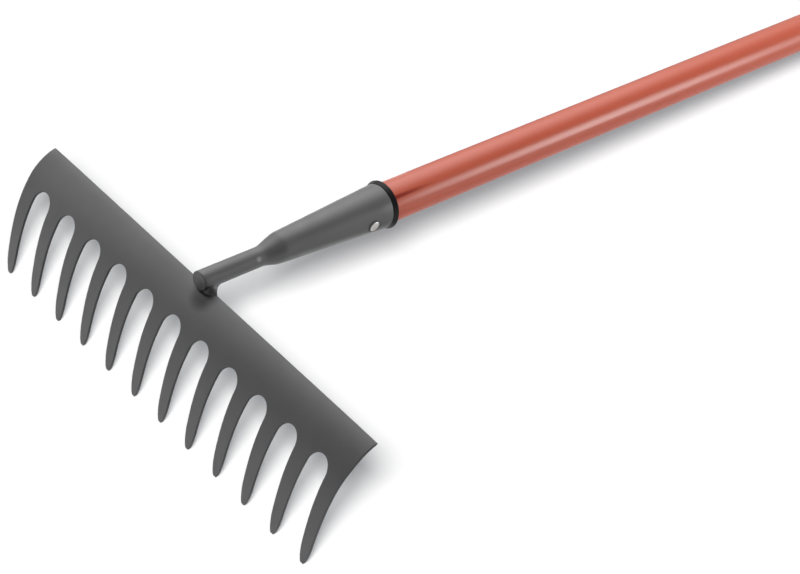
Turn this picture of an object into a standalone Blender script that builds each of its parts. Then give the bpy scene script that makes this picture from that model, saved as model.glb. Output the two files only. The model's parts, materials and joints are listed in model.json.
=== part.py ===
"""Soil rake: a pressed twelve-tine steel head, a swaged socket welded on it and a coated tube handle.

The rake is modelled along its own handle axis (X from the head to the grip end, Y along the head,
Z up) and then tilted and placed so that it lies on the ground on its tine tips and its end cap.
"""
import math

import bmesh
import bpy
from mathutils import Matrix, Vector

# Clearance between neighbouring pieces
GAP = 0.0003

# Head: one steel sheet, blanked with slots and pressed into a curve
SHEET_THICKNESS = 0.002
TINE_COUNT = 12
TINE_PITCH = 0.029
TINE_WIDTH_AT_SLOT = 0.0121
TINE_WIDTH_AT_POINT = 0.0087
HEAD_DEPTH = 0.104  # along the sheet, from the top edge to the tine tips
SLOT_START = 0.0277  # along the sheet, from the top edge to the top of a slot
SLOT_ARCH_HEIGHT = 0.0105
POINT_LENGTH = 0.0174
POINT_SHARPNESS = 1.52
TIP_WIDTH = 0.0012
END_MARGIN = 0.0011  # sheet beyond the root of each end tine
MARGIN_FADE_START = 0.018
MARGIN_FADE_LENGTH = 0.022

# Bend of the sheet: the direction turns quickly under the top edge and then ever more slowly
TOP_EDGE_SLOPE = math.radians(14.6)
BEND_TURN = math.radians(75.7)
BEND_REACH = 0.0322
BEND_STEP = 0.00025

# Socket: one tube, swaged from a tapered mouth down to a narrow neck
NECK_RADIUS = 0.0068
NECK_DROP = 0.0016  # the neck's own axis lies this far below the handle axis
NECK_NOTCH = 0.00095  # the sheet's top edge sits this deep in the neck's underside
NECK_OVERHANG = 0.0065
NECK_ROUNDING = 0.0009
NECK_PLUG = 0.0085  # the neck's welded end is closed over this length
TRANSITION_START = 0.044
TRANSITION_LENGTH = 0.0145
UNDERSIDE_LENGTH = 0.0095  # the transition is steeper, and so shorter, on the underside
TRANSITION_ROUNDING = 0.002  # half the length of the bend at each end of the transition
MOUTH_DISTANCE = 0.148
SOCKET_WALL = 0.0012
CONE_SLOPE = 0.0607
CONE_DROP = 0.0005  # the cone's axis lies this far below the handle axis where the cone starts

# Handle tube
TUBE_RADIUS = 0.0144  # a 28 mm steel tube with a plastic coat of 0.4 mm
TUBE_WALL = 0.0012  # steel and coat
TUBE_INSERTION = 0.058
REACH = 1.4625  # from the sheet's top edge to the end cap's outer face

# Collar at the socket's mouth
COLLAR_PROUD = 0.0014  # beyond the socket's mouth, at the collar's back
COLLAR_LENGTH = 0.0036
COLLAR_ROUNDING = 0.0006

# Rivet through the socket and the tube
RIVET_SETBACK = 0.0155  # from the mouth back to the rivet's axis
RIVET_TILT = math.radians(6)  # the photographed head sits a little below the handle's side
RIVET_SHANK_RADIUS = 0.002
RIVET_HEAD_RADIUS = 0.0038
RIVET_HEAD_HEIGHT = 0.0012
RIVET_HEAD_EDGE = 0.0004
DISH_DEPTH = 0.0007
DISH_MARGIN = 0.0007

# Weld beads between the neck and the sheet's top edge
BEAD_FRONT = 0.0045
BEAD_BACK = 0.0083
BEAD_TOE = 0.005  # reach of the bead along the top edge, beyond the neck's side
BEAD_NARROWING = 1.6  # power of the bead's width towards its back end
BEAD_END_TUCK = 0.0024  # the bead's ends run in under the neck's side by this much
BEAD_FACE_OUT = 0.4  # where the hollow face is drawn to, as shares of its width and height
BEAD_FACE_UP = 0.25
BEAD_CLIMB = math.radians(72)
BEAD_CLIMB_AT_ENDS = math.radians(48)
BEAD_SPLIT = 0.0008
BEAD_TOE_HEIGHT = 0.0004
BEAD_TOP_LIP = 0.0001  # thickness left at the bead's upper rim, against the neck
BEAD_ROOT = 0.0002  # below the sheet's back face

# End cap on the grip end
CAP_WALL = 0.0013
CAP_SLEEVE = 0.045
CAP_END_THICKNESS = 0.020
CAP_ROUNDING = 0.003
HANG_HOLE_RADIUS = 0.005

# Facets round a turned piece, and steps along curved surfaces
SEGMENTS = 48
RIVET_SEGMENTS = 24
CORNER_STEPS = 4
PLATE_STEPS = 7
ARCH_STEPS = 8
SHANK_STEPS = 9
POINT_STEPS = 7
NOTCH_STEPS = 12
BEAD_FRONT_STEPS = 4
BEAD_BACK_STEPS = 7
BEAD_FACE_STEPS = 6

# Sizes that follow from the ones above
TOP_EDGE_DROP = NECK_DROP + NECK_RADIUS - NECK_NOTCH
MOUTH_INNER_RADIUS = TUBE_RADIUS + GAP
MOUTH_RADIUS = MOUTH_INNER_RADIUS + SOCKET_WALL
COLLAR_RADIUS = MOUTH_RADIUS + COLLAR_PROUD
CAP_RADIUS = TUBE_RADIUS + GAP + CAP_WALL
RIVET_X = MOUTH_DISTANCE - RIVET_SETBACK
TUBE_START = MOUTH_DISTANCE - TUBE_INSERTION
TUBE_END = REACH - CAP_END_THICKNESS - GAP
CONE_START = TRANSITION_START + TRANSITION_LENGTH
UNDERSIDE_END = TRANSITION_START + UNDERSIDE_LENGTH
HEAD_WIDTH = (TINE_COUNT - 1) * TINE_PITCH + TINE_WIDTH_AT_SLOT + 2 * END_MARGIN


def clear_scene():
    for obj in list(bpy.data.objects):
        bpy.data.objects.remove(obj)


def linear(hex_colour):
    """The linear colour of an sRGB hex value."""
    channels = [int(hex_colour[i:i + 2], 16) / 255 for i in (0, 2, 4)]
    return [c / 12.92 if c <= 0.04045 else ((c + 0.055) / 1.055) ** 2.4 for c in channels] + [1.0]


def make_material(name, hex_colour, roughness, metallic=0.0):
    material = bpy.data.materials.new(name)
    material.use_nodes = True
    shader = material.node_tree.nodes["Principled BSDF"]
    shader.inputs["Base Color"].default_value = linear(hex_colour)
    shader.inputs["Roughness"].default_value = roughness
    shader.inputs["Metallic"].default_value = metallic
    return material


def add_object(name, bm, material=None):
    """Turn a bmesh into a smooth-shaded object with sharp corners."""
    bmesh.ops.recalc_face_normals(bm, faces=bm.faces)
    mesh = bpy.data.meshes.new(name)
    bm.to_mesh(mesh)
    bm.free()
    mesh.shade_smooth()
    mesh.set_sharp_from_angle(angle=math.radians(35))
    obj = bpy.data.objects.new(name, mesh)
    bpy.context.collection.objects.link(obj)
    if material:
        mesh.materials.append(material)
    return obj


def add_cutter(name, bm):
    cutter = add_object(name, bm)
    cutter.hide_render = True
    cutter.display_type = "WIRE"
    return cutter


def cut(obj, cutter):
    boolean = obj.modifiers.new("cut_" + cutter.name, "BOOLEAN")
    boolean.operation = "DIFFERENCE"
    boolean.solver = "EXACT"
    boolean.object = cutter


def skin(rings, endless=False):
    """Join rings of points into a closed surface: capped at both ends, or endless like a tyre."""
    bm = bmesh.new()
    loops = [[bm.verts.new(point) for point in ring] for ring in rings]
    pairs = list(zip(loops, loops[1:]))
    if endless:
        pairs.append((loops[-1], loops[0]))
    for first, second in pairs:
        for i in range(len(first)):
            j = (i + 1) % len(first)
            bm.faces.new((first[i], first[j], second[j], second[i]))
    if not endless:
        bm.faces.new(loops[0])
        bm.faces.new(loops[-1])
    return bm


def circle(x, radius, centre_z=0.0, segments=SEGMENTS):
    """Points round the X direction, the first one straight up."""
    angles = [2 * math.pi * i / segments for i in range(segments)]
    return [Vector((x, radius * math.sin(a), centre_z + radius * math.cos(a))) for a in angles]


def rounded_corner(x, radius, rounding, direction):
    """Stations (x, radius) round the outer corner of a turned end; direction is +1 for an end at +X."""
    stations = []
    for i in range(CORNER_STEPS + 1):
        angle = 0.5 * math.pi * i / CORNER_STEPS
        stations.append((x - direction * rounding * (1 - math.sin(angle)),
                         radius - rounding * (1 - math.cos(angle))))
    return stations


def smooth_step(value):
    value = min(max(value, 0.0), 1.0)
    return value * value * (3 - 2 * value)


def bend_path():
    """The sheet's front face in the XZ plane: (distance, x, z, slope) from the top edge to the tips."""
    path = []
    x = 0.0
    z = -TOP_EDGE_DROP
    for i in range(math.ceil(HEAD_DEPTH / BEND_STEP) + 2):
        distance = i * BEND_STEP
        slope = TOP_EDGE_SLOPE + BEND_TURN * (1 - math.exp(-distance / BEND_REACH))
        path.append((distance, x, z, slope))
        middle = TOP_EDGE_SLOPE + BEND_TURN * (1 - math.exp(-(distance + BEND_STEP / 2) / BEND_REACH))
        x -= BEND_STEP * math.cos(middle)
        z -= BEND_STEP * math.sin(middle)
    return path


BEND = bend_path()


def sheet_point(distance, y, depth=0.0):
    """A point of the pressed sheet: distance along it from the top edge, depth behind its front face."""
    step = max(distance / BEND_STEP, 0.0)
    i = int(step)
    part = step - i
    x = BEND[i][1] * (1 - part) + BEND[i + 1][1] * part
    z = BEND[i][2] * (1 - part) + BEND[i + 1][2] * part
    slope = BEND[i][3] * (1 - part) + BEND[i + 1][3] * part
    before = min(distance, 0.0)  # ahead of the top edge the sheet's cutter runs on straight
    x -= before * math.cos(slope)
    z -= before * math.sin(slope)
    return Vector((x + depth * math.sin(slope), y, z - depth * math.cos(slope)))


def slot_arch_end():
    return SLOT_START + SLOT_ARCH_HEIGHT


def tine_half_width(distance):
    """Half the width of a tine, without the arch at the top of its slots."""
    root = slot_arch_end()
    point = HEAD_DEPTH - POINT_LENGTH
    if distance > point:
        share = (distance - point) / POINT_LENGTH
        tip = TIP_WIDTH / 2
        full = TINE_WIDTH_AT_POINT / 2
        return tip + (full - tip) * math.sqrt(max(1 - share ** POINT_SHARPNESS, 0.0))
    taper = min(max((distance - root) / (point - root), 0.0), 1.0)
    return (TINE_WIDTH_AT_SLOT + taper * (TINE_WIDTH_AT_POINT - TINE_WIDTH_AT_SLOT)) / 2


def slot_side(distance):
    """Distance from a tine's middle to the slot beside it."""
    root = slot_arch_end()
    if distance >= root:
        return tine_half_width(distance)
    rise = min((root - distance) / SLOT_ARCH_HEIGHT, 1.0)
    half_slot = (TINE_PITCH - TINE_WIDTH_AT_SLOT) / 2
    return TINE_PITCH / 2 - half_slot * math.sqrt(1 - rise * rise)


def end_side(distance):
    """Distance from an end tine's middle to the end of the sheet."""
    fade = smooth_step((distance - MARGIN_FADE_START) / MARGIN_FADE_LENGTH)
    return tine_half_width(distance) + END_MARGIN * (1 - fade)


def sheet_rows():
    """Distances of the mesh rows: even above the slots, closer round the arch and the points."""
    root = slot_arch_end()
    point = HEAD_DEPTH - POINT_LENGTH
    quarter = 0.5 * math.pi
    plate = [SLOT_START * i / PLATE_STEPS for i in range(PLATE_STEPS)]
    arch = [root - SLOT_ARCH_HEIGHT * math.cos(quarter * i / ARCH_STEPS) for i in range(ARCH_STEPS)]
    shank = [root + (point - root) * i / SHANK_STEPS for i in range(SHANK_STEPS)]
    tip = [point + POINT_LENGTH * math.sin(quarter * i / POINT_STEPS) for i in range(POINT_STEPS + 1)]
    return plate + arch + shank + tip


def head_surface():
    """The sheet's front face, one strip for each tine; strips share their edges above the slots."""
    bm = bmesh.new()
    rows = sheet_rows()
    corners = {}

    def corner(row, tine, side):
        distance = rows[row]
        middle = (tine - (TINE_COUNT - 1) / 2) * TINE_PITCH
        at_end = tine + side in (-1, TINE_COUNT)
        shared = not at_end and distance <= SLOT_START + BEND_STEP / 100
        key = (row, "shared", tine + max(side, 0)) if shared else (row, tine, side)
        if key not in corners:
            reach = end_side(distance) if at_end else slot_side(distance)
            y = middle + side * (TINE_PITCH / 2 if shared else reach)
            corners[key] = bm.verts.new(sheet_point(distance, y))
        return corners[key]

    for tine in range(TINE_COUNT):
        for row in range(len(rows) - 1):
            bm.faces.new((corner(row, tine, -1), corner(row, tine, 1),
                          corner(row + 1, tine, 1), corner(row + 1, tine, -1)))
    return bm


def make_head(material):
    head = add_object("rake_head", head_surface(), material)
    thickness = head.modifiers.new("sheet_thickness", "SOLIDIFY")
    thickness.thickness = SHEET_THICKNESS
    thickness.offset = -1
    thickness.use_even_offset = True
    return head


def sheet_clearance():
    """Room for the sheet's top edge, cut out of the neck and the weld beads."""
    reach_along = 2 * NECK_OVERHANG + BEAD_FRONT
    half_width = 2 * NECK_RADIUS + BEAD_TOE
    front = -GAP
    back = SHEET_THICKNESS + GAP
    rings = []
    for i in range(NOTCH_STEPS + 1):
        distance = -GAP + (reach_along + GAP) * i / NOTCH_STEPS
        rings.append([sheet_point(distance, -half_width, front), sheet_point(distance, half_width, front),
                      sheet_point(distance, half_width, back), sheet_point(distance, -half_width, back)])
    return add_cutter("sheet_clearance", skin(rings))


def cone_radius(x):
    """Outer radius of the socket's tapered mouth."""
    return MOUTH_RADIUS - CONE_SLOPE * (MOUTH_DISTANCE - x)


def cone_centre(x):
    """Height of the cone's axis: it comes up to the handle axis at the mouth."""
    return -CONE_DROP * (MOUTH_DISTANCE - x) / (MOUTH_DISTANCE - CONE_START)


def rounded_rise(distance):
    """0 before a corner and distance after it, with the corner rounded."""
    if abs(distance) >= TRANSITION_ROUNDING:
        return max(distance, 0.0)
    return (distance + TRANSITION_ROUNDING) ** 2 / (4 * TRANSITION_ROUNDING)


def swaged(x, length, neck, cone):
    """A height that runs from the neck's to the cone's over the transition's length."""
    share = (rounded_rise(x - TRANSITION_START) - rounded_rise(x - TRANSITION_START - length)) / length
    return neck * (1 - share) + cone * share


def socket_station(x, inset=0.0):
    """(x, radius, centre height) of the socket's surface, inset into its wall."""
    top = swaged(x, TRANSITION_LENGTH, NECK_RADIUS - NECK_DROP, cone_centre(x) + cone_radius(x))
    bottom = swaged(x, UNDERSIDE_LENGTH, -NECK_RADIUS - NECK_DROP, cone_centre(x) - cone_radius(x))
    return (x, (top - bottom) / 2 - inset, (top + bottom) / 2)


def make_socket(material, cutters):
    bends = [distance * TRANSITION_ROUNDING for distance in (-1, -0.5, 0, 0.5, 1)]
    corners = (TRANSITION_START, UNDERSIDE_END, CONE_START)
    transition = [corner + bend for corner in corners for bend in bends]
    neck_end = rounded_corner(-NECK_OVERHANG, NECK_RADIUS, NECK_ROUNDING, -1)
    outside = [(x, radius, -NECK_DROP) for x, radius in reversed(neck_end)]
    outside += [socket_station(x) for x in transition + [MOUTH_DISTANCE]]
    bore_end = NECK_PLUG - NECK_OVERHANG
    inside = [socket_station(x, SOCKET_WALL) for x in [MOUTH_DISTANCE] + transition[::-1] + [bore_end]]
    rings = [circle(x, radius, centre) for x, radius, centre in outside + inside]
    socket = add_object("socket", skin(rings), material)
    for cutter in cutters:
        cut(socket, cutter)
    return socket


def make_handle_tube(material, rivet_hole):
    """The tube's lower end is drawn down to the socket's taper, so it wedges in the mouth."""
    wedge_radius = TUBE_RADIUS - CONE_SLOPE * TUBE_INSERTION
    outside = [(TUBE_START, wedge_radius, cone_centre(TUBE_START)),
               (MOUTH_DISTANCE, TUBE_RADIUS, 0.0), (TUBE_END, TUBE_RADIUS, 0.0)]
    inside = [(x, radius - TUBE_WALL, centre) for x, radius, centre in reversed(outside)]
    rings = [circle(x, radius, centre) for x, radius, centre in outside + inside]
    tube = add_object("handle_tube", skin(rings, endless=True), material)
    cut(tube, rivet_hole)
    return tube


def make_collar(material):
    """A ring that closes the joint at the mouth and flares from the socket's size to a rounded rim."""
    start = MOUTH_DISTANCE + GAP
    end = start + COLLAR_LENGTH
    bore = TUBE_RADIUS + GAP
    rim = rounded_corner(end, COLLAR_RADIUS, COLLAR_ROUNDING, 1)
    profile = [(start, MOUTH_RADIUS)] + rim + [(end, bore), (start, bore)]
    return add_object("collar", skin([circle(x, r) for x, r in profile], endless=True), material)


def across(bm):
    """Turn a piece made round X so that it lies along Y, with its facets clear of the socket's edges."""
    half_facet = Matrix.Rotation(math.pi / RIVET_SEGMENTS, 4, "X")
    bmesh.ops.transform(bm, matrix=Matrix.Rotation(math.radians(90), 4, "Z") @ half_facet, verts=bm.verts)
    return bm


def place_across(obj):
    """Put a piece of the riveted joint on the rivet's axis."""
    obj.location.x = RIVET_X
    obj.rotation_euler.x = RIVET_TILT


def dish_floor():
    """Distance from the handle axis to the flat floor of the dish under a rivet head."""
    return cone_radius(RIVET_X) - DISH_DEPTH


def make_rivet(material):
    """A solid rivet: shank, a set head on one side and the same head formed on the other."""
    seat = dish_floor() + GAP
    dome = []
    for i in range(CORNER_STEPS):
        angle = 0.5 * math.pi * i / CORNER_STEPS
        height = RIVET_HEAD_EDGE + (RIVET_HEAD_HEIGHT - RIVET_HEAD_EDGE) * math.sin(angle)
        dome.append((seat + height, RIVET_HEAD_RADIUS * math.cos(angle)))
    half = [(seat, RIVET_SHANK_RADIUS), (seat, RIVET_HEAD_RADIUS)] + dome
    profile = [(-x, r) for x, r in reversed(half)] + half
    rings = [circle(x, r, segments=RIVET_SEGMENTS) for x, r in profile]
    rivet = add_object("rivet", across(skin(rings)), material)
    place_across(rivet)
    return rivet


def rivet_cutters():
    """A hole for the shank, and the pair of dishes under the heads as one cutter each side."""
    hole_reach = 2 * MOUTH_RADIUS
    radius = RIVET_SHANK_RADIUS + GAP
    hole = skin([circle(x, radius, segments=RIVET_SEGMENTS) for x in (-hole_reach, hole_reach)])
    cutters = [add_cutter("rivet_hole", across(hole))]
    dish_radius = RIVET_HEAD_RADIUS + DISH_MARGIN
    for name, side in (("dish_left", 1), ("dish_right", -1)):
        ends = sorted((side * dish_floor(), side * hole_reach))
        dish = skin([circle(x, dish_radius, segments=RIVET_SEGMENTS) for x in ends])
        cutters.append(add_cutter(name, across(dish)))
    for cutter in cutters:
        place_across(cutter)
    return cutters


def bead_ring(x):
    """Cross-section of the weld bead on the -Y side of the neck, at one place along the neck."""
    tuck = NECK_RADIUS - BEAD_END_TUCK
    surface = next(z for _, path_x, z, _ in BEND if path_x <= min(x, 0.0))
    if x > 0:
        share = x / BEAD_BACK
        width = (1 - share) ** BEAD_NARROWING
        floor = surface - BEAD_ROOT - SHEET_THICKNESS * (1 - share)
    else:
        share = -x / BEAD_FRONT
        width = (1 - share) ** (1 / BEAD_NARROWING)
        floor = surface - SHEET_THICKNESS / 2
    toe = tuck + (BEAD_TOE + BEAD_END_TUCK) * width
    climb = BEAD_CLIMB + (BEAD_CLIMB_AT_ENDS - BEAD_CLIMB) * share ** 2
    brim = surface + GAP + BEAD_TOE_HEIGHT

    def on_neck(radius):
        return Vector((x, -radius * math.sin(climb), -NECK_DROP - radius * math.cos(climb)))

    start = Vector((x, -toe, brim))
    end = on_neck(NECK_RADIUS + GAP + BEAD_TOP_LIP)
    drawn_to = Vector((x, end.y + BEAD_FACE_OUT * (start.y - end.y),
                       start.z + BEAD_FACE_UP * (end.z - start.z)))
    hollow = []
    for i in range(BEAD_FACE_STEPS + 1):
        t = i / BEAD_FACE_STEPS
        hollow.append(start * (1 - t) ** 2 + drawn_to * 2 * t * (1 - t) + end * t * t)
    outer = [Vector((x, -BEAD_SPLIT, floor)), Vector((x, -toe + BEAD_TOE_HEIGHT, floor)),
             Vector((x, -toe, (floor + brim) / 2))]
    inner = [on_neck(NECK_RADIUS / 2), Vector((x, -BEAD_SPLIT, -NECK_DROP - NECK_RADIUS / 2))]
    return outer + hollow + inner


def make_weld_beads(material, cutters):
    stations = [-BEAD_FRONT * (1 - i / BEAD_FRONT_STEPS) for i in range(BEAD_FRONT_STEPS)]
    stations += [BEAD_BACK * i / BEAD_BACK_STEPS for i in range(BEAD_BACK_STEPS + 1)]
    beads = []
    for name, side in (("weld_bead_right", 1), ("weld_bead_left", -1)):
        bm = skin([bead_ring(x) for x in stations])
        bmesh.ops.scale(bm, vec=(1, side, 1), verts=bm.verts)
        bead = add_object(name, bm, material)
        for cutter in cutters:
            cut(bead, cutter)
        beads.append(bead)
    return beads


def neck_clearance():
    """Room for the neck, cut out of the weld beads."""
    ends = (-NECK_OVERHANG - GAP, TRANSITION_START)
    rings = [circle(x, NECK_RADIUS + GAP, -NECK_DROP) for x in ends]
    return add_cutter("neck_clearance", skin(rings))


def make_end_cap(material):
    """A push-on cap: a sleeve over the tube and a thick end with a hole to hang the rake by."""
    sleeve_start = REACH - CAP_END_THICKNESS - CAP_SLEEVE
    bore = TUBE_RADIUS + GAP
    corner = rounded_corner(REACH, CAP_RADIUS, CAP_ROUNDING, 1)
    profile = [(REACH - CAP_END_THICKNESS, bore), (sleeve_start, bore), (sleeve_start, CAP_RADIUS)] + corner
    cap = add_object("end_cap", skin([circle(x, r) for x, r in profile]), material)
    hole_ends = (-2 * CAP_RADIUS, 2 * CAP_RADIUS)
    hole = skin([circle(x, HANG_HOLE_RADIUS, segments=RIVET_SEGMENTS) for x in hole_ends])
    hole_cutter = add_cutter("hanging_hole", across(hole))
    hole_cutter.location.x = REACH - CAP_END_THICKNESS / 2
    cut(cap, hole_cutter)
    return cap


def lying_tilt():
    """Tilt about Y that brings the tine tips and the end cap's rounded rim down to one level."""
    tip = sheet_point(HEAD_DEPTH, 0, SHEET_THICKNESS)
    rim_x = REACH - CAP_ROUNDING - tip.x
    rim_z = -(CAP_RADIUS - CAP_ROUNDING) - tip.z
    return math.acos(CAP_ROUNDING / math.hypot(rim_x, rim_z)) - math.atan2(rim_x, rim_z)


def lay_on_ground(pieces):
    """Tilt the rake on to its tips and cap, and centre its box over the origin, standing on Z = 0."""
    axes = bpy.data.objects.new("rake_axes", None)
    bpy.context.collection.objects.link(axes)
    for obj in bpy.data.objects:
        if obj is not axes:
            obj.parent = axes
    axes.rotation_euler.y = lying_tilt()
    bpy.context.view_layer.update()
    graph = bpy.context.evaluated_depsgraph_get()
    corners = []
    for piece in pieces:
        evaluated = piece.evaluated_get(graph)
        corners += [evaluated.matrix_world @ vertex.co for vertex in evaluated.data.vertices]
    lowest = [min(corner[i] for corner in corners) for i in range(3)]
    highest = [max(corner[i] for corner in corners) for i in range(3)]
    axes.location = (-(lowest[0] + highest[0]) / 2, -(lowest[1] + highest[1]) / 2, -lowest[2])
    print("tilt in degrees", round(math.degrees(axes.rotation_euler.y), 3))
    print("rake axes at", [round(value, 5) for value in axes.location])
    print("box in metres", [round(highest[i] - lowest[i], 4) for i in range(3)])


def main():
    clear_scene()
    painted = make_material("grey_painted_steel", "5c5c5d", 0.45)
    weld = make_material("painted_weld", "555556", 0.5)
    coated = make_material("red_coated_tube", "b9503f", 0.3)
    plastic = make_material("black_plastic", "242223", 0.35)
    zinc = make_material("zinc_plated_rivet", "cfccc9", 0.35, metallic=0.6)
    room_for_sheet = sheet_clearance()
    room_for_neck = neck_clearance()
    rivet_hole, dish_left, dish_right = rivet_cutters()
    pieces = [
        make_head(painted),
        make_socket(painted, [room_for_sheet, rivet_hole, dish_left, dish_right]),
        make_handle_tube(coated, rivet_hole),
        make_collar(plastic),
        make_rivet(zinc),
        make_end_cap(plastic),
    ]
    pieces += make_weld_beads(weld, [room_for_neck, room_for_sheet])
    lay_on_ground(pieces)
    print("head width", round(HEAD_WIDTH, 4))


main()
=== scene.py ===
# %% [markdown]
# # Dressing a soil rake
#
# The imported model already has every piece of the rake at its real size. This file gives the pieces their
# looks: rounded edges, pressed and welded forms, paint, plastic coat and zinc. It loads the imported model
# as a fixed frame, so nothing here decides where a piece goes.

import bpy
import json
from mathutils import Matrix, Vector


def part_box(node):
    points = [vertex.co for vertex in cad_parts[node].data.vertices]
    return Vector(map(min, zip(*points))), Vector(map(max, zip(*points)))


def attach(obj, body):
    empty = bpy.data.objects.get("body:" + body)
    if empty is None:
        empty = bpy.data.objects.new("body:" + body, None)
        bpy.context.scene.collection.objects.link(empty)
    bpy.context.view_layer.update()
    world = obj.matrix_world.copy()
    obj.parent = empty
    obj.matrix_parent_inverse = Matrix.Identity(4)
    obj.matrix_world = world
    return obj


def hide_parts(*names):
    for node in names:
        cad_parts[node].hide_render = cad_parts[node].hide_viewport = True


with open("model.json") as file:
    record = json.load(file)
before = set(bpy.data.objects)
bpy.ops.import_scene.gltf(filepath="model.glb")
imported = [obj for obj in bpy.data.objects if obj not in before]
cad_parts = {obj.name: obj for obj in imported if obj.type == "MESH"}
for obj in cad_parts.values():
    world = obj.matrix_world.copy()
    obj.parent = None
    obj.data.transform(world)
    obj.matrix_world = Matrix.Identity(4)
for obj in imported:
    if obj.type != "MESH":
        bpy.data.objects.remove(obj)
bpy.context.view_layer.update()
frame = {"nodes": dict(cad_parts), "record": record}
print("nodes:", sorted(frame["nodes"]))

# %% Blender's modules
import json
import math

import bmesh
import bpy
from mathutils import Matrix, Vector

print("Blender", bpy.app.version_string)

# %% [markdown]
# ## The rake's own axes
#
# The rake lies on its tine tips and its end cap, so its handle is tilted a little. Modelling is easier
# along the handle: X from the head's top edge to the grip end, Y along the head, Z up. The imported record
# says where the middle of the end cap's face is and where it points, and that gives the whole frame. A
# tilted parent object could hold the pieces too. One matrix, laid on each finished mesh, is plainer.

# %% Axes of the rake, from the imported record
REACH = 1.4625  # metres from the head's top edge to the end cap's outer face
grip_face = frame["record"]["mounts"][0]
handle_direction = Vector(grip_face["axis"]).normalized()
head_direction = Vector((0, 1, 0))
up_direction = handle_direction.cross(head_direction)
rake_origin = Vector(grip_face["pos_m"]) - REACH * handle_direction
rake_axes = Matrix((handle_direction, head_direction, up_direction)).transposed().to_4x4()
rake_axes.translation = rake_origin
print("handle tilt:", round(math.degrees(math.asin(-handle_direction.z)), 2), "degrees")

# %% [markdown]
# ## The camera
#
# The photograph was taken from the tines' side, from above, with the camera turned a little about its
# own line of sight. The lens and the place were worked out from the rake's outlines: 12 equal tines give
# the scale along the head, and the straight tube gives the direction of the handle. The angles are
# measured on the rake's own axes, and the place is where the rake's origin lies as the camera sees it. A
# camera that is turned by hand always stays a little off, so the numbers of that fit make its matrix.

# %% What the fit to the photograph gave
PHOTO_WIDTH = 800  # pixels
FOCAL_LENGTH_PIXELS = 1891.75
SENSOR_WIDTH = 36.0  # millimetres
VIEW_AZIMUTH = math.radians(-50.914)
VIEW_ELEVATION = math.radians(38.715)
VIEW_ROLL = math.radians(13.355)
ORIGIN_FROM_CAMERA = Vector((-0.1225, -0.0069, 1.2016))  # right, down and ahead, in metres
print("the camera stood", round(ORIGIN_FROM_CAMERA.length, 2), "m from the head's top edge")

# %% Where the camera stands
towards_camera = Vector((math.sin(VIEW_AZIMUTH) * math.cos(VIEW_ELEVATION),
                         -math.cos(VIEW_AZIMUTH) * math.cos(VIEW_ELEVATION),
                         math.sin(VIEW_ELEVATION)))
ahead = -towards_camera
level_right = ahead.cross(Vector((0, 0, 1))).normalized()
level_down = ahead.cross(level_right)
camera_right = math.cos(VIEW_ROLL) * level_right - math.sin(VIEW_ROLL) * level_down
camera_down = math.sin(VIEW_ROLL) * level_right + math.cos(VIEW_ROLL) * level_down
camera_place = -(camera_right * ORIGIN_FROM_CAMERA.x + camera_down * ORIGIN_FROM_CAMERA.y
                 + ahead * ORIGIN_FROM_CAMERA.z)
camera_axes = Matrix((camera_right, -camera_down, towards_camera)).transposed().to_4x4()
camera_axes.translation = camera_place
print("camera on the rake's axes", [round(c, 3) for c in camera_place])

# %% Camera
camera_data = bpy.data.cameras.new("camera")
camera_data.sensor_width = SENSOR_WIDTH
camera_data.lens = FOCAL_LENGTH_PIXELS * SENSOR_WIDTH / PHOTO_WIDTH
camera = bpy.data.objects.new("camera", camera_data)
bpy.context.scene.collection.objects.link(camera)
camera.matrix_world = rake_axes @ camera_axes
bpy.context.scene.camera = camera
bpy.context.scene.view_settings.view_transform = "Standard"
print("lens", round(camera_data.lens, 1), "mm, camera at",
      [round(c, 3) for c in camera.matrix_world.translation])

# %% [markdown]
# ## Small helpers
#
# Colours are written as sRGB hex values, as a painter's chart gives them, and shaders want linear
# values. One helper adds a shader node with its settings and links. Others turn rings of points into a
# mesh, which is all that turned, swaged and drawn pieces need. The Screw modifier turns a profile too,
# but only round one straight axis, and the socket's rings don't share one.


# %% Helper for colours
def linear(hex_colour):
    """An sRGB hex colour as linear red, green, blue and alpha, by the curve of the sRGB standard."""
    channels = [int(hex_colour[i:i + 2], 16) / 255 for i in (1, 3, 5)]
    return [c / 12.92 if c <= 0.04045 else ((c + 0.055) / 1.055) ** 2.4 for c in channels] + [1.0]


print("middle grey, #808080, is", round(linear("#808080")[0], 3), "in linear light")


# %% Helper for shader nodes
def add_node(tree, kind, settings=None, links=None):
    """Add a node. settings are its own options; links gives its inputs values or other nodes' outputs."""
    node = tree.nodes.new("ShaderNode" + kind)
    for name, value in (settings or {}).items():
        setattr(node, name, value)
    for socket, value in (links or {}).items():
        if isinstance(value, bpy.types.NodeSocket):
            tree.links.new(value, node.inputs[socket])
        else:
            node.inputs[socket].default_value = value
    return node


print("kinds of shader node:", sum(name.startswith("ShaderNode") for name in dir(bpy.types)))


# %% Helper for materials
def new_material(name):
    """An empty material and its node tree."""
    material = bpy.data.materials.new(name)
    material.use_nodes = True
    material.node_tree.nodes.clear()
    return material, material.node_tree


print("materials of the packed model:", sorted(material.name for material in bpy.data.materials))


# %% Helper for meshes: rings of points
QUARTER_TURN = math.pi / 2


def skin(rings, endless=False):
    """Join rings of points into a closed surface: endless like a tyre, or with a cap at each end."""
    bm = bmesh.new()
    loops = [[bm.verts.new(point) for point in ring] for ring in rings]
    pairs = list(zip(loops, loops[1:]))
    if endless:
        pairs.append((loops[-1], loops[0]))
    for first, second in pairs:
        for i in range(len(first)):
            j = (i + 1) % len(first)
            bm.faces.new((first[i], first[j], second[j], second[i]))
    if not endless:
        bm.faces.new(loops[0])
        bm.faces.new(loops[-1])
    return bm


def circle(x, radius, segments, centre_z=0.0):
    """A ring of points round the handle's direction at x."""
    angles = [2 * math.pi * i / segments for i in range(segments)]
    return [Vector((x, radius * math.sin(a), centre_z + radius * math.cos(a))) for a in angles]


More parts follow.
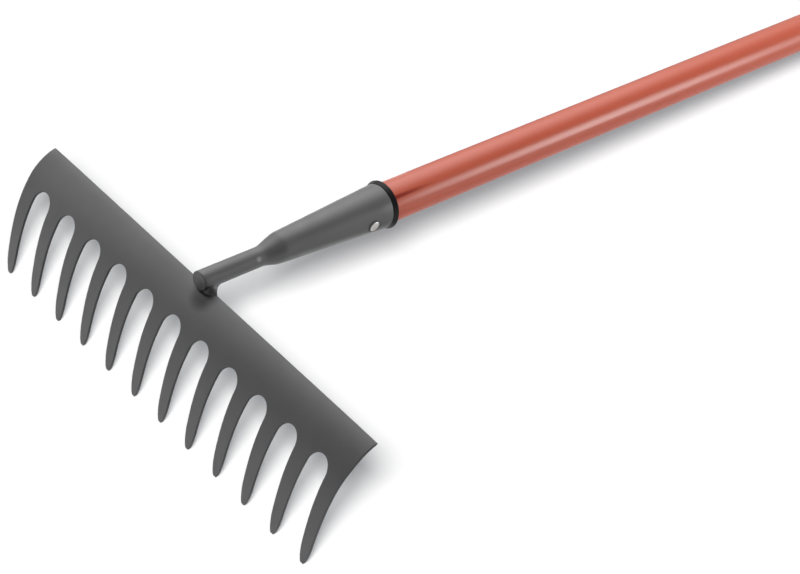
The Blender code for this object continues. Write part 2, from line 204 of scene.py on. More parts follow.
def rounded(x, radius, rounding, direction, steps=8):
    """Stations (x, radius) round the outer corner of a turned end that faces direction, +1 or -1."""
    stations = []
    for i in range(steps + 1):
        angle = QUARTER_TURN * i / steps
        stations.append((x - direction * rounding * (1 - math.sin(angle)),
                         radius - rounding * (1 - math.cos(angle))))
    return stations


def smooth_step(value):
    """Below 0 gives 0 and above 1 gives 1, with a soft start and end between them."""
    value = min(max(value, 0.0), 1.0)
    return value * value * (3 - 2 * value)


print("four points round X:", [[round(c) for c in point] for point in circle(0, 1, 4)])


# %% Helper for meshes: a piece of the rake
SHARP_ANGLE = 40  # degrees; where faces meet at more than this, the edge between them stays sharp
lit_pieces = bpy.data.collections.new("lit_pieces")
bpy.context.scene.collection.children.link(lit_pieces)


def finish_piece(name, bm, material, nodes, sharp_angle=SHARP_ANGLE):
    """Lay a bmesh, made on the rake's axes, in its place, as a piece that rides on the rake's body."""
    bmesh.ops.transform(bm, matrix=rake_axes, verts=bm.verts)
    bmesh.ops.recalc_face_normals(bm, faces=bm.faces)
    mesh = bpy.data.meshes.new(name)
    bm.to_mesh(mesh)
    bm.free()
    mesh.shade_smooth()
    mesh.set_sharp_from_angle(angle=math.radians(sharp_angle))
    mesh.materials.append(material)
    piece = bpy.data.objects.new(name, mesh)
    lit_pieces.objects.link(piece)
    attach(piece, "root")
    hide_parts(*nodes)
    print(name, "has", len(mesh.polygons), "faces")
    return piece

# %% [markdown]
# ## Paint on the steel
#
# The head, the socket and the weld are one welded part that is powder coated after welding: grey
# polyester powder, melted in an oven. Powder melts into a skin with a slight orange peel, of lumps about
# a millimetre across and a few thousandths of one high, so the gloss is satin and highlights have soft
# edges. The steel under it is rolled sheet, so a second, longer and gentler wave makes reflections
# wander a little.
#
# Such clouds and waves could be painted on unwrapped faces. Here they are noise in three dimensions,
# laid on the rake itself, which needs no unwrapping and runs from piece to piece without a seam. A noise
# texture's blobs are about half of one over its scale across, in metres, and its value stays mostly
# between 0.3 and 0.7, so colours and roughness are mapped from that range.
#
# The paint also carries painted light and shade: painted shade in the corner where the neck is welded on,
# a painted shadow in a crescent beside the rivet, and a painted highlight in a pale spot on the neck. Each
# is a soft ball of another colour round a point of the rake, which takes two nodes and no painted mask.
# The cut edges of the sheet have a darker copy of the paint of their own, which is painted shade too.

# %% Helpers for patterns and marks in a material
NOISE_LOW = 0.3
NOISE_HIGH = 0.7


def blob_scale(millimetres):
    """The scale of a noise texture whose blobs are about so many millimetres across."""
    return 500 / millimetres


def on_the_rake(tree, stretch=1.0):
    """The rake's own coordinates, in metres; stretch draws a pattern out along the handle."""
    place = add_node(tree, "TexCoord").outputs["Object"]
    return add_node(tree, "Mapping", {"vector_type": "TEXTURE"}, {
        "Vector": place, "Location": rake_axes.translation, "Rotation": rake_axes.to_euler(),
        "Scale": (stretch, 1, 1)}).outputs["Vector"]


def clouds(tree, place, millimetres, dark, pale, detail=2.0):
    """Noise with blobs of this size, and a colour that wanders between two with it."""
    noise = add_node(tree, "TexNoise", links={
        "Vector": place, "Scale": blob_scale(millimetres), "Detail": detail}).outputs["Fac"]
    share = add_node(tree, "MapRange", links={
        "Value": noise, "From Min": NOISE_LOW, "From Max": NOISE_HIGH}).outputs["Result"]
    colour = add_node(tree, "Mix", {"data_type": "RGBA"}, {
        "Factor": share, 6: linear(dark), 7: linear(pale)}).outputs[2]
    return noise, colour


def waves(tree, place, millimetres, depth, detail, under=None):
    """The normal of a surface with waves of this size and depth, on top of the waves given as under."""
    noise = add_node(tree, "TexNoise", links={
        "Vector": place, "Scale": blob_scale(millimetres), "Detail": detail}).outputs["Fac"]
    links = {"Height": noise, "Distance": depth}
    if under:
        links["Normal"] = under
    return add_node(tree, "Bump", links=links).outputs["Normal"]


def mark(tree, place, centre, fade, strength=1.0):
    """The strength near a point, which drops to 0 between the two distances of the fade."""
    away = add_node(tree, "VectorMath", {"operation": "DISTANCE"}, {0: place, 1: centre})
    return add_node(tree, "MapRange", {"interpolation_type": "SMOOTHSTEP"}, {
        "Value": away.outputs["Value"], "From Min": fade[0], "From Max": fade[1],
        "To Min": strength, "To Max": 0.0}).outputs["Result"]


print("blobs of 1 mm need a noise scale of", blob_scale(1))

# %% Powder coat
POLYESTER_IOR = 1.5
PAINT_ROUGHNESS = (0.38, 0.46)
PAINT_CLOUD = 18  # millimetres, as the next three
PAINT_GLOSS_CLOUD = 5
ORANGE_PEEL_LUMP = 1.2
SHEET_WAVE = 14
SHEET_WAVE_DEPTH = 0.00004  # metres, as the depth of the peel
# Painted shade in the corner where the neck is welded on:
PAINTED_SHADE_CORNER = Vector((-0.01, -0.0066, -0.0062))
PAINTED_SHADE_FADE = (0.005, 0.0128)
PAINTED_SHADE_BLACK = "#121213"
# A painted shadow in a crescent beside the rivet's head:
RIVET_SHADOW_CENTRE = Vector((0.131, -0.0148, -0.0008))
RIVET_SHADOW_FADE = (0.0041, 0.0052)
RIVET_SHADOW_STRENGTH = 0.8
# A painted highlight, a pale spot on the neck:
PAINTED_HIGHLIGHT_SPOT = Vector((0.038, -0.0056, 0.0022))
PAINTED_HIGHLIGHT_FADE = (0.0004, 0.0029)
PAINTED_HIGHLIGHT_GREY = "#8a8a8b"


def powder_coat(name, dark, pale, peel_depth, painted_shade_strength=1.0):
    """Grey powder coat, clouded between two colours, with this rake's painted shade and painted highlight.
    """
    material, tree = new_material(name)
    place = on_the_rake(tree)
    colour = clouds(tree, place, PAINT_CLOUD, dark, pale, detail=3.0)[1]
    # A painted highlight: a pale spot on the neck.
    painted_highlight = add_node(tree, "Mix", {"data_type": "RGBA"}, {
        "Factor": mark(tree, place, PAINTED_HIGHLIGHT_SPOT, PAINTED_HIGHLIGHT_FADE), 6: colour, 7: linear(PAINTED_HIGHLIGHT_GREY)})
    # Painted shade in the corner where the neck is welded on.
    painted_corner_shade = mark(tree, place, PAINTED_SHADE_CORNER, PAINTED_SHADE_FADE, painted_shade_strength)
    # A painted shadow beside the rivet's head. It and the corner's painted shade darken towards one
    # near-black.
    painted_rivet_shadow = mark(tree, place, RIVET_SHADOW_CENTRE, RIVET_SHADOW_FADE, RIVET_SHADOW_STRENGTH)
    darkness = add_node(tree, "Math", {"operation": "MAXIMUM"}, {0: painted_corner_shade, 1: painted_rivet_shadow})
    marked = add_node(tree, "Mix", {"data_type": "RGBA"}, {
        "Factor": darkness.outputs[0], 6: painted_highlight.outputs[2], 7: linear(PAINTED_SHADE_BLACK)})
    gloss = add_node(tree, "TexNoise", links={
        "Vector": place, "Scale": blob_scale(PAINT_GLOSS_CLOUD), "Detail": 2.0})
    roughness = add_node(tree, "MapRange", links={
        "Value": gloss.outputs["Fac"], "From Min": NOISE_LOW, "From Max": NOISE_HIGH,
        "To Min": PAINT_ROUGHNESS[0], "To Max": PAINT_ROUGHNESS[1]})
    sheet = waves(tree, place, SHEET_WAVE, SHEET_WAVE_DEPTH, detail=0.0)
    peel = waves(tree, place, ORANGE_PEEL_LUMP, peel_depth, detail=1.0, under=sheet)
    shader = add_node(tree, "BsdfPrincipled", links={
        "Base Color": marked.outputs[2], "Roughness": roughness.outputs["Result"], "IOR": POLYESTER_IOR,
        "Normal": peel})
    add_node(tree, "OutputMaterial", links={"Surface": shader.outputs["BSDF"]})
    return material


powder_coated_steel = powder_coat("powder_coated_steel", "#5a5a5b", "#5e5e5f", peel_depth=0.000006)
powder_coated_weld = powder_coat("powder_coated_weld", "#525253", "#5a5a5b", peel_depth=0.00002,
                                 painted_shade_strength=0.7)
# A darker copy of the paint for the sheet's cut edges: painted shade.
painted_shade_edge_coat = powder_coat("painted_shade_edge_coat", "#262627", "#303031", peel_depth=0.00001)
print("paint with lumps of", ORANGE_PEEL_LUMP, "mm and waves of", SHEET_WAVE, "mm")

# %% [markdown]
# ## Plastic coat on the tube
#
# The handle is thin steel tube with a red plastic coat, extruded round the tube as a skin. An extruded
# skin is glossy and is drawn out along the tube, so its clouds and waves are long and thin. It has a
# faint bloom, so it mirrors less than clear plastic does. A dark red streak runs along the top of the
# tube from the collar.
#
# A wave texture would draw lines along the tube, but too evenly, so they are noise again, on coordinates
# that are stretched along it. Real draw lines are too fine to show, and are drawn a millimetre wide.

# %% Red plastic coat
COAT_IOR = 1.5
COAT_SPECULAR = 0.35  # 0.5 is clean plastic, and bloom takes some of it away
COAT_ROUGHNESS = (0.18, 0.23)
COAT_STRETCH = 8
COAT_CLOUD = 30  # millimetres, as the next three
COAT_GLOSS_CLOUD = 6
COAT_WAVE = 8
DRAW_LINE_WIDTH = 1.2
COAT_WAVE_DEPTH = 0.00001  # metres, as the next one
DRAW_LINE_DEPTH = 0.000002
DARK_STREAK_STRETCH = 20
DARK_STREAK_X = 0.150
DARK_STREAK_START = Vector((DARK_STREAK_X / DARK_STREAK_STRETCH, -0.0089, 0.0113))
DARK_STREAK_FADE = (0.0003, 0.0024)
DARK_STREAK_RED = "#8c2f22"


def plastic_coat():
    """Red plastic, drawn out along the tube, with a dark red streak beside the collar."""
    material, tree = new_material("extruded_plastic_coat")
    along = on_the_rake(tree, COAT_STRETCH)
    colour = clouds(tree, along, COAT_CLOUD, "#c25b45", "#ca634d")[1]
    dark_streak = mark(tree, on_the_rake(tree, DARK_STREAK_STRETCH), DARK_STREAK_START, DARK_STREAK_FADE)
    marked = add_node(tree, "Mix", {"data_type": "RGBA"}, {
        "Factor": dark_streak, 6: colour, 7: linear(DARK_STREAK_RED)})
    gloss = add_node(tree, "TexNoise", links={"Vector": along, "Scale": blob_scale(COAT_GLOSS_CLOUD)})
    roughness = add_node(tree, "MapRange", links={
        "Value": gloss.outputs["Fac"], "From Min": NOISE_LOW, "From Max": NOISE_HIGH,
        "To Min": COAT_ROUGHNESS[0], "To Max": COAT_ROUGHNESS[1]})
    skin_waves = waves(tree, along, COAT_WAVE, COAT_WAVE_DEPTH, detail=0.0)
    draw_lines = waves(tree, along, DRAW_LINE_WIDTH, DRAW_LINE_DEPTH, detail=0.0, under=skin_waves)
    shader = add_node(tree, "BsdfPrincipled", links={
        "Base Color": marked.outputs[2], "Roughness": roughness.outputs["Result"], "IOR": COAT_IOR,
        "Specular IOR Level": COAT_SPECULAR, "Normal": draw_lines})
    add_node(tree, "OutputMaterial", links={"Surface": shader.outputs["BSDF"]})
    return material


extruded_plastic_coat = plastic_coat()
print("coat with clouds of", COAT_CLOUD, "mm, drawn out", COAT_STRETCH, "times along the tube")

# %% [markdown]
# ## Moulded black plastic
#
# The collar and the end cap are moulded from black polyethylene. The mould is lightly spark eroded,
# which leaves a fine even grain and a satin surface. The grain's hollows hold dust and bloom, so the
# plastic mirrors less than polished plastic does.
#
# A Voronoi texture would give round cells, as on leather. Spark erosion has no such order, so the grain
# is noise. The real grain is about a tenth of a millimetre across, too fine to show even from close by,
# and it is drawn at about a third of one.

# %% Black plastic
POLYETHYLENE_IOR = 1.51
PLASTIC_SPECULAR = 0.3
PLASTIC_ROUGHNESS = (0.42, 0.52)
PLASTIC_CLOUD = 4  # millimetres, as the next one
MOULD_GRAIN = 0.35
MOULD_GRAIN_DEPTH = 0.000012  # metres


def moulded_plastic():
    """Black polyethylene with the mould's grain."""
    material, tree = new_material("moulded_black_plastic")
    place = add_node(tree, "TexCoord").outputs["Object"]
    noise, colour = clouds(tree, place, PLASTIC_CLOUD, "#0a0a0b", "#100f10")
    roughness = add_node(tree, "MapRange", links={
        "Value": noise, "From Min": NOISE_LOW, "From Max": NOISE_HIGH,
        "To Min": PLASTIC_ROUGHNESS[0], "To Max": PLASTIC_ROUGHNESS[1]})
    grain = waves(tree, place, MOULD_GRAIN, MOULD_GRAIN_DEPTH, detail=1.0)
    shader = add_node(tree, "BsdfPrincipled", links={
        "Base Color": colour, "Roughness": roughness.outputs["Result"], "IOR": POLYETHYLENE_IOR,
        "Specular IOR Level": PLASTIC_SPECULAR, "Normal": grain})
    add_node(tree, "OutputMaterial", links={"Surface": shader.outputs["BSDF"]})
    return material


moulded_black_plastic = moulded_plastic()
print("black plastic with a grain of", MOULD_GRAIN, "mm")

# %% [markdown]
# ## Zinc on the rivet
#
# The rivet is steel with a bright zinc plate. The hammer or the squeezing die leaves fine marks on the
# head, so the metal isn't a mirror: its highlights are broad and almost white. A metal has no colour
# under its gloss, so Metallic is 1 and the base colour is the colour that it mirrors. The marks could be
# cut into the mesh, but they are only some hundredths of a millimetre deep, so bump is enough.

# %% Zinc plate
ZINC_ROUGHNESS = (0.36, 0.48)
ZINC_CLOUD = 1.2  # millimetres, as the next one
HAMMER_MARK = 0.6
HAMMER_MARK_DEPTH = 0.00003  # metres


def zinc_plate():
    """Bright zinc with the marks of the rivet's setting."""
    material, tree = new_material("zinc_plated_steel")
    place = add_node(tree, "TexCoord").outputs["Object"]
    noise, colour = clouds(tree, place, ZINC_CLOUD, "#cfccc8", "#e2dfdb")
    roughness = add_node(tree, "MapRange", links={
        "Value": noise, "From Min": NOISE_LOW, "From Max": NOISE_HIGH,
        "To Min": ZINC_ROUGHNESS[0], "To Max": ZINC_ROUGHNESS[1]})
    marks = waves(tree, place, HAMMER_MARK, HAMMER_MARK_DEPTH, detail=2.0)
    shader = add_node(tree, "BsdfPrincipled", links={
        "Base Color": colour, "Metallic": 1.0, "Roughness": roughness.outputs["Result"],
        "Normal": marks})
    add_node(tree, "OutputMaterial", links={"Surface": shader.outputs["BSDF"]})
    return material


zinc_plated_steel = zinc_plate()
print("zinc with marks of", HAMMER_MARK, "mm")

# %% [markdown]
# ## The head
#
# The real head starts as a flat strip of 2 mm steel. A press blanks the gaps between the tines, which
# leaves slightly rounded edges, and a second stroke bends the strip. A flat outline with the Solidify,
# Bevel and Simple Deform modifiers could give that, but Simple Deform bends to an even arc, and this
# bend gets straighter towards the tips. So the next cells work as the press does: the outline is drawn
# flat, in metres along and across the sheet, and every point is then laid on the bent sheet.

# %% Sizes of the head
SHEET = 0.002  # thickness; all sizes of the pieces are in metres
TINES = 12
PITCH = 0.029
TINE_WIDTH_AT_SLOT = 0.0121
TINE_WIDTH_AT_POINT = 0.0087
HEAD_DEPTH = 0.104
SLOT_START = 0.0277  # top of the slots, from the top edge
SLOT_ARCH = 0.0105  # height of a slot's round top
SLOT_ROOT = SLOT_START + SLOT_ARCH
POINT_LENGTH = 0.0174
POINT_START = HEAD_DEPTH - POINT_LENGTH
POINT_SHARPNESS = 1.52  # 2 is half an ellipse, and less is more pointed
TIP_WIDTH = 0.0012
END_MARGIN = 0.0011  # how far the ends of the sheet stand out beyond the end tines
MARGIN_FADE_START = 0.018
MARGIN_FADE_LENGTH = 0.022
EDGE_ROUNDING = 0.00045  # what blanking, tumbling and paint make of a cut edge
EDGE_RIM = 0.0002  # a narrow flat border that keeps the face's shading flat up to the rounding
INSET = EDGE_ROUNDING + EDGE_RIM
LEAST_HALF_WIDTH = 0.0001
print("slots", round(1000 * (PITCH - TINE_WIDTH_AT_SLOT), 1), "mm wide at the top")

# %% The bend of the sheet
TOP_EDGE_DROP = 0.00745  # below the handle's middle line
TOP_EDGE_SLOPE = math.radians(14.6)
BEND_TURN = math.radians(75.7)
BEND_REACH = 0.0322  # distance over which the rest of the bend shrinks to about a third
BEND_STEP = 0.0002


def slope_at(distance):
    """The sheet's slope at a distance down from its top edge: most of the bend comes early."""
    return TOP_EDGE_SLOPE + BEND_TURN * (1 - math.exp(-distance / BEND_REACH))


def bend_points():
    """Places of the sheet's front face, one for each small step down from the top edge."""
    x, z = 0.0, -TOP_EDGE_DROP
    points = []
    for i in range(math.ceil(HEAD_DEPTH / BEND_STEP) + 2):
        points.append((x, z))
        slope = slope_at((i + 0.5) * BEND_STEP)
        x -= BEND_STEP * math.cos(slope)
        z -= BEND_STEP * math.sin(slope)
    return points


BEND_POINTS = bend_points()
print("the tips hang", round(-1000 * BEND_POINTS[-1][1]), "mm below the handle's middle")


def on_sheet(distance, y, depth=0.0):
    """The place of a point of the flat sheet after bending; depth is measured behind the front face."""
    step = max(distance / BEND_STEP, 0.0)
    i = int(step)
    part = step - i
    x = BEND_POINTS[i][0] * (1 - part) + BEND_POINTS[i + 1][0] * part
    z = BEND_POINTS[i][1] * (1 - part) + BEND_POINTS[i + 1][1] * part
    slope = slope_at(distance)
    return Vector((x + depth * math.sin(slope), y, z - depth * math.cos(slope)))


# %% The outline of one tine
def tine_half_width(distance):
    """Half of a tine's width at a distance down the sheet: a slow taper, then the point."""
    if distance > POINT_START:
        share = min((distance - POINT_START) / POINT_LENGTH, 1.0)
        tip = TIP_WIDTH / 2
        return tip + (TINE_WIDTH_AT_POINT / 2 - tip) * math.sqrt(1 - share ** POINT_SHARPNESS)
    taper = min(max((distance - SLOT_ROOT) / (POINT_START - SLOT_ROOT), 0.0), 1.0)
    return (TINE_WIDTH_AT_SLOT + taper * (TINE_WIDTH_AT_POINT - TINE_WIDTH_AT_SLOT)) / 2


def inner_side(distance):
    """Distance from a tine's middle to the slot beside it, pulled in by the inset."""
    if distance >= SLOT_ROOT:
        return max(tine_half_width(distance) - INSET, LEAST_HALF_WIDTH)
    rise = min((SLOT_ROOT - distance) / (SLOT_ARCH + INSET), 1.0)
    half_slot = (PITCH - TINE_WIDTH_AT_SLOT) / 2 + INSET
    return PITCH / 2 - half_slot * math.sqrt(1 - rise * rise)


def outer_side(distance):
    """Distance from an end tine's middle to the end of the sheet, pulled in by the inset."""
    fade = smooth_step((distance - MARGIN_FADE_START) / MARGIN_FADE_LENGTH)
    return max(tine_half_width(distance) + END_MARGIN * (1 - fade) - INSET, LEAST_HALF_WIDTH)


print("half a tine:", [round(1000 * tine_half_width(d), 2) for d in (SLOT_ROOT, POINT_START)], "mm")


# %% Rows of the sheet
PLATE_ROWS = 26  # above the slots
ARCH_ROWS = 18  # beside their round tops
SHANK_ROWS = 36  # down the tines
POINT_ROWS = 18


def rows_down_the_sheet():
    """Distances of the mesh's rows from the top edge, closer together where the outline turns."""
    arch_top = SLOT_START - INSET
    tip = HEAD_DEPTH - INSET
    plate = [INSET + (arch_top - INSET) * i / PLATE_ROWS for i in range(PLATE_ROWS)]
    arch = [SLOT_ROOT - (SLOT_ROOT - arch_top) * math.cos(QUARTER_TURN * i / ARCH_ROWS)
            for i in range(ARCH_ROWS)]
    shank = [SLOT_ROOT + (POINT_START - SLOT_ROOT) * i / SHANK_ROWS for i in range(SHANK_ROWS)]
    point = [POINT_START + (tip - POINT_START) * math.sin(QUARTER_TURN * i / POINT_ROWS)
             for i in range(POINT_ROWS + 1)]
    return plate + arch + shank + point


ROWS = rows_down_the_sheet()
print("rows down the sheet:", len(ROWS))


# %% The head's outline, drawn flat
def flat_point(row, tine, side):
    """A key that neighbours share, and (distance, y), for one corner of a row."""
    middle = (tine - (TINES - 1) / 2) * PITCH
    at_end = tine + side in (-1, TINES)
    if not at_end and row <= PLATE_ROWS:
        return (row, "between", tine + max(side, 0)), (ROWS[row], middle + side * PITCH / 2)
    reach = outer_side(ROWS[row]) if at_end else inner_side(ROWS[row])
    return (row, tine, side), (ROWS[row], middle + side * reach)


def outline():
    """The keys and points of the outline: down and up each tine, then back along the top edge."""
    points = []
    for tine in range(TINES):
        right_start = 0 if tine == 0 else PLATE_ROWS
        left_start = 0 if tine == TINES - 1 else PLATE_ROWS
        points += [flat_point(row, tine, -1) for row in range(right_start, len(ROWS))]
        points += [flat_point(row, tine, 1) for row in range(len(ROWS) - 1, left_start, -1)]
    points.append(flat_point(0, TINES - 1, 1))
    return points + [flat_point(0, tine, -1) for tine in range(TINES - 1, 0, -1)]


OUTLINE = outline()
print("points in the head's outline:", len(OUTLINE))


# %% The head's cut edge
def edge_profile(steps=5):
    """Steps (outwards, depth) from the front border to the back one, round both corners of the edge."""
    profile = [(0.0, 0.0)]
    for i in range(steps + 1):
        angle = QUARTER_TURN * i / steps
        profile.append((EDGE_RIM + EDGE_ROUNDING * math.sin(angle),
                        EDGE_ROUNDING * (1 - math.cos(angle))))
    return profile + [(out, SHEET - depth) for out, depth in reversed(profile)]


def outward_directions(flat):
    """The direction straight out of the outline at each of its points."""
    outwards = []
    for i, place in enumerate(flat):
        along = (flat[(i + 1) % len(flat)] - place).normalized() + (place - flat[i - 1]).normalized()
        along.normalize()
        outwards.append(Vector((along.y, -along.x)))
    return outwards


def cut_edge(bm):
    """Add the edge all round the outline, and return its first and last ring of vertices."""
    flat = [Vector(place) for _, place in OUTLINE]
    outwards = outward_directions(flat)
    profile = edge_profile()
    rings = []
    for out, depth in profile:
        rings.append([bm.verts.new(on_sheet(p.x + out * n.x, p.y + out * n.y, depth))
                      for p, n in zip(flat, outwards)])
    on_cut_face = [min(out, next_out) > EDGE_RIM + EDGE_ROUNDING / 2
                   for (out, _), (next_out, _) in zip(profile, profile[1:])]
    for ring, following, is_cut in zip(rings, rings[1:], on_cut_face):
        for i in range(len(flat)):
            j = (i + 1) % len(flat)
            face = bm.faces.new((ring[i], ring[j], following[j], following[i]))
            # Cut faces take the head's second material, the darker copy of the paint: painted shade.
            face.material_index = int(is_cut)
    return rings[0], rings[-1]


print("points from face to face of the edge:", len(edge_profile()))


# %% The head's mesh
def face_rows(bm, ring, depth):
    """Add one face of the sheet inside its ring: a quad for each row of each tine."""
    corners = {key: vertex for (key, _), vertex in zip(OUTLINE, ring)}

    def corner(row, tine, side):
        key, (distance, y) = flat_point(row, tine, side)
        if key not in corners:
            corners[key] = bm.verts.new(on_sheet(distance, y, depth))
        return corners[key]

    for tine in range(TINES):
        for row in range(len(ROWS) - 1):
            bm.faces.new((corner(row, tine, -1), corner(row, tine, 1),
                          corner(row + 1, tine, 1), corner(row + 1, tine, -1)))


head_bm = bmesh.new()
front_ring, back_ring = cut_edge(head_bm)
face_rows(head_bm, front_ring, 0.0)
face_rows(head_bm, back_ring, SHEET)
rake_head = finish_piece("pressed_head", head_bm, powder_coated_steel, ["rake_head"],
                         sharp_angle=60)
# The second material, for the cut faces: a darker copy of the paint, which is painted shade.
rake_head.data.materials.append(painted_shade_edge_coat)

# %% [markdown]
# ## The socket
#
# The socket is one tube. Its wide end keeps the tube's size and is only tapered, and the other end is
# swaged: rotating hammers squeeze it down to a neck. A curve with a round bevel and a changing radius
# could give such a tube, but its top and underside would narrow alike, and here the underside is the
# steeper one. Rings of points along the handle each have their own size and height.
#
# The rivet pulls the wall in, so each side has a shallow round dish. A Boolean would give it a hard rim,
# so the points of the wall are pushed inwards instead.

# %% Sizes of the socket
NECK_RADIUS = 0.0068
NECK_DROP = 0.0016  # of the neck's middle line below the tube's
NECK_OVERHANG = 0.0065  # beyond the head's top edge
NECK_ROUNDING = 0.0009
TRANSITION_START = 0.044
TRANSITION_LENGTH = 0.0145
UNDERSIDE_LENGTH = 0.0095  # the transition is steeper, and so shorter, on the underside
TRANSITION_ROUNDING = 0.002
CONE_START = TRANSITION_START + TRANSITION_LENGTH
CONE_SLOPE = 0.0607  # gain of radius along the handle
CONE_DROP = 0.0005  # of the cone's middle line where it starts
MOUTH = 0.148  # from the head's top edge
TUBE_RADIUS = 0.0144
GAP = 0.0003  # between neighbouring pieces
SOCKET_WALL = 0.0012
MOUTH_RADIUS = TUBE_RADIUS + GAP + SOCKET_WALL
MOUTH_ROUNDING = 0.0004
NECK_END_STEP = 0.0008  # from the neck's rounded end to the next ring
SHEET_END = 0.0002  # a ring just past the sheet's top edge
BORE_TIP_RADIUS = 0.001
SOCKET_SEGMENTS = 180
OVERHANG_RINGS = 7
NECK_RINGS = 24
SWAGE_RINGS = 37
CONE_RINGS = 30
DISH_RINGS = 26
print("socket's mouth", round(2000 * MOUTH_RADIUS, 1), "mm across")

# %% Sizes of the rivet
RIVET_FROM_MOUTH = 0.0155
RIVET_X = MOUTH - RIVET_FROM_MOUTH
RIVET_TILT = math.radians(6)
RIVET_HEAD_RADIUS = 0.0038
RIVET_HEAD_HEIGHT = 0.0012
RIVET_HEAD_EDGE = 0.0004  # height of the head at its rim
DISH_DEPTH = 0.0007
DISH_RADIUS = 0.0042
DISH_SLOPE = 0.0009  # width of the dish's rolled-in rim
rivet_direction = Vector((0, math.cos(RIVET_TILT), math.sin(RIVET_TILT)))
print("rivet", round(1000 * RIVET_X, 1), "mm from the head's top edge")


# %% The socket's radius and axis along the handle
def cone_radius(x):
    """Radius of the tapered part at a place along the handle."""
    return MOUTH_RADIUS - CONE_SLOPE * (MOUTH - x)


def rounded_rise(distance):
    """0 before a corner and distance after it, with the corner rounded."""
    if abs(distance) >= TRANSITION_ROUNDING:
        return max(distance, 0.0)
    return (distance + TRANSITION_ROUNDING) ** 2 / (4 * TRANSITION_ROUNDING)


def swaged(x, length, neck, cone):
    """A height that runs from the neck's to the cone's over the transition's length."""
    share = (rounded_rise(x - TRANSITION_START) - rounded_rise(x - TRANSITION_START - length)) / length
    return neck * (1 - share) + cone * share


def socket_station(x):
    """(x, radius, height of the centre) of the socket's outside."""
    cone_centre = -CONE_DROP * (MOUTH - x) / (MOUTH - CONE_START)
    top = swaged(x, TRANSITION_LENGTH, NECK_RADIUS - NECK_DROP, cone_centre + cone_radius(x))
    bottom = swaged(x, UNDERSIDE_LENGTH, -NECK_RADIUS - NECK_DROP, cone_centre - cone_radius(x))
    return (x, (top - bottom) / 2, (top + bottom) / 2)


print("cone", round(2000 * cone_radius(CONE_START), 1), "mm across where it starts")


# %% The socket's dishes, and its seat on the sheet
def dished(point):
    """Push a point of the wall in where a rivet head pulls on it."""
    side = 1 if point.y > 0 else -1
    height = side * point.dot(rivet_direction)
    from_axis = (point - Vector((RIVET_X, 0, 0)) - side * height * rivet_direction).length
    floor = cone_radius(RIVET_X) - DISH_DEPTH
    if height > floor and from_axis < DISH_RADIUS + DISH_SLOPE:
        pull = 1 - smooth_step((from_axis - DISH_RADIUS) / DISH_SLOPE)
        point = point - side * (height - floor) * pull * rivet_direction
    return point


def sheet_height(x):
    """Height of the sheet's front face under the neck; beyond the top edge, that of the edge."""
    return next(z for bend_x, z in BEND_POINTS if bend_x <= min(x, 0.0))


def over_the_sheet(point):
    """Keep the neck's underside on the sheet's front face, where it was notched to fit."""
    if point.x > 0 or point.x < -NECK_OVERHANG:
        return point
    return Vector((point.x, point.y, max(point.z, sheet_height(point.x))))


print("dish", round(1000 * DISH_DEPTH, 1), "mm deep, seat", round(1000 * NECK_OVERHANG, 1), "mm long")


# %% The socket's mesh
def evenly(start, end, count):
    """Places from the start up to, but without, the end."""
    return [start + (end - start) * i / count for i in range(count)]


def socket_mesh():
    """The outside from the neck's end to the mouth, then the bore back down to its tip."""
    neck_end = [(x, radius, -NECK_DROP) for x, radius
                in reversed(rounded(-NECK_OVERHANG, NECK_RADIUS, NECK_ROUNDING, -1))]
    bend_start = TRANSITION_START - TRANSITION_ROUNDING
    bend_end = CONE_START + TRANSITION_ROUNDING
    dish_reach = DISH_RADIUS + DISH_SLOPE
    places = evenly(NECK_END_STEP - NECK_OVERHANG + NECK_ROUNDING, SHEET_END, OVERHANG_RINGS)
    places += evenly(SHEET_END, bend_start, NECK_RINGS)
    places += evenly(bend_start, bend_end, SWAGE_RINGS)
    places += evenly(bend_end, RIVET_X - dish_reach, CONE_RINGS)
    places += evenly(RIVET_X - dish_reach, RIVET_X + dish_reach, DISH_RINGS) + [RIVET_X + dish_reach]
    outside = neck_end + [socket_station(x) for x in places]
    outside += [(x, radius, 0.0) for x, radius in rounded(MOUTH, MOUTH_RADIUS, MOUTH_ROUNDING, 1)]
    bore = [(MOUTH, MOUTH_RADIUS - SOCKET_WALL, 0.0),
            (CONE_START, cone_radius(CONE_START) - SOCKET_WALL, -CONE_DROP),
            (TRANSITION_START, BORE_TIP_RADIUS, 0.0)]
    rings = []
    for x, radius, centre in outside:
        ring = circle(x, radius, SOCKET_SEGMENTS, centre)
        rings.append([over_the_sheet(dished(point)) for point in ring])
    rings += [circle(x, radius, SOCKET_SEGMENTS, centre) for x, radius, centre in bore]
    return skin(rings)


finish_piece("swaged_socket", socket_mesh(), powder_coated_steel, ["socket"])

# %% [markdown]
# ## The weld
#
# The neck is laid on the head's top edge and welded along both sides. A wire welder lays a hollow bead
# that climbs up the neck, with small ripples where the pool froze, about one for each millimetre of
# travel. A curve with a round bevel, sunk in the corner, is the quick way to a bead, but it bulges where
# this one is hollow. So one cross-section is drawn and changes along the neck, and the ripples are
# shape.

